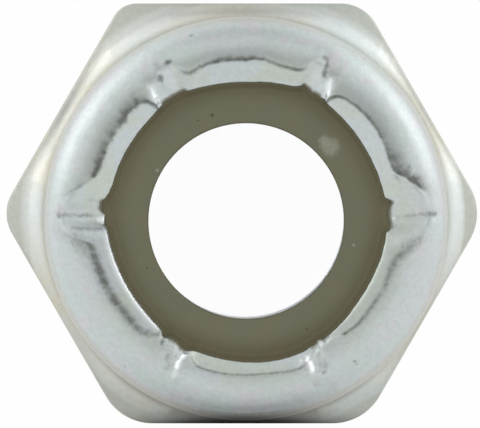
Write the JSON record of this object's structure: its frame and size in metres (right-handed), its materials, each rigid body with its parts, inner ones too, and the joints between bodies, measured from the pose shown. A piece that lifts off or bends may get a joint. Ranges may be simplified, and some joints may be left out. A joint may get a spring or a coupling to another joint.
{
  "type": "nylon insert lock nut",
  "caption": "Steel hexagon nut with a round collar rolled and staked over a nylon ring that grips the bolt's thread.",
  "frame": {"origin": "centre of the bearing face, on the bore's axis", "axes": "+Z along the bore, from the bearing face to the collar; +X through a corner of the hexagon; +Y square to a flat"},
  "size_m": [0.0126, 0.0112, 0.0079],
  "materials": {
    "zinc_plated_steel": "bright zinc plate with a faint passivate tint, satin where the collar is rolled",
    "nylon": "smooth olive-grey nylon"
  },
  "bodies": {
    "root": {"nut_body": "zinc_plated_steel", "nylon_insert": "nylon"}
  },
  "joints": []
}
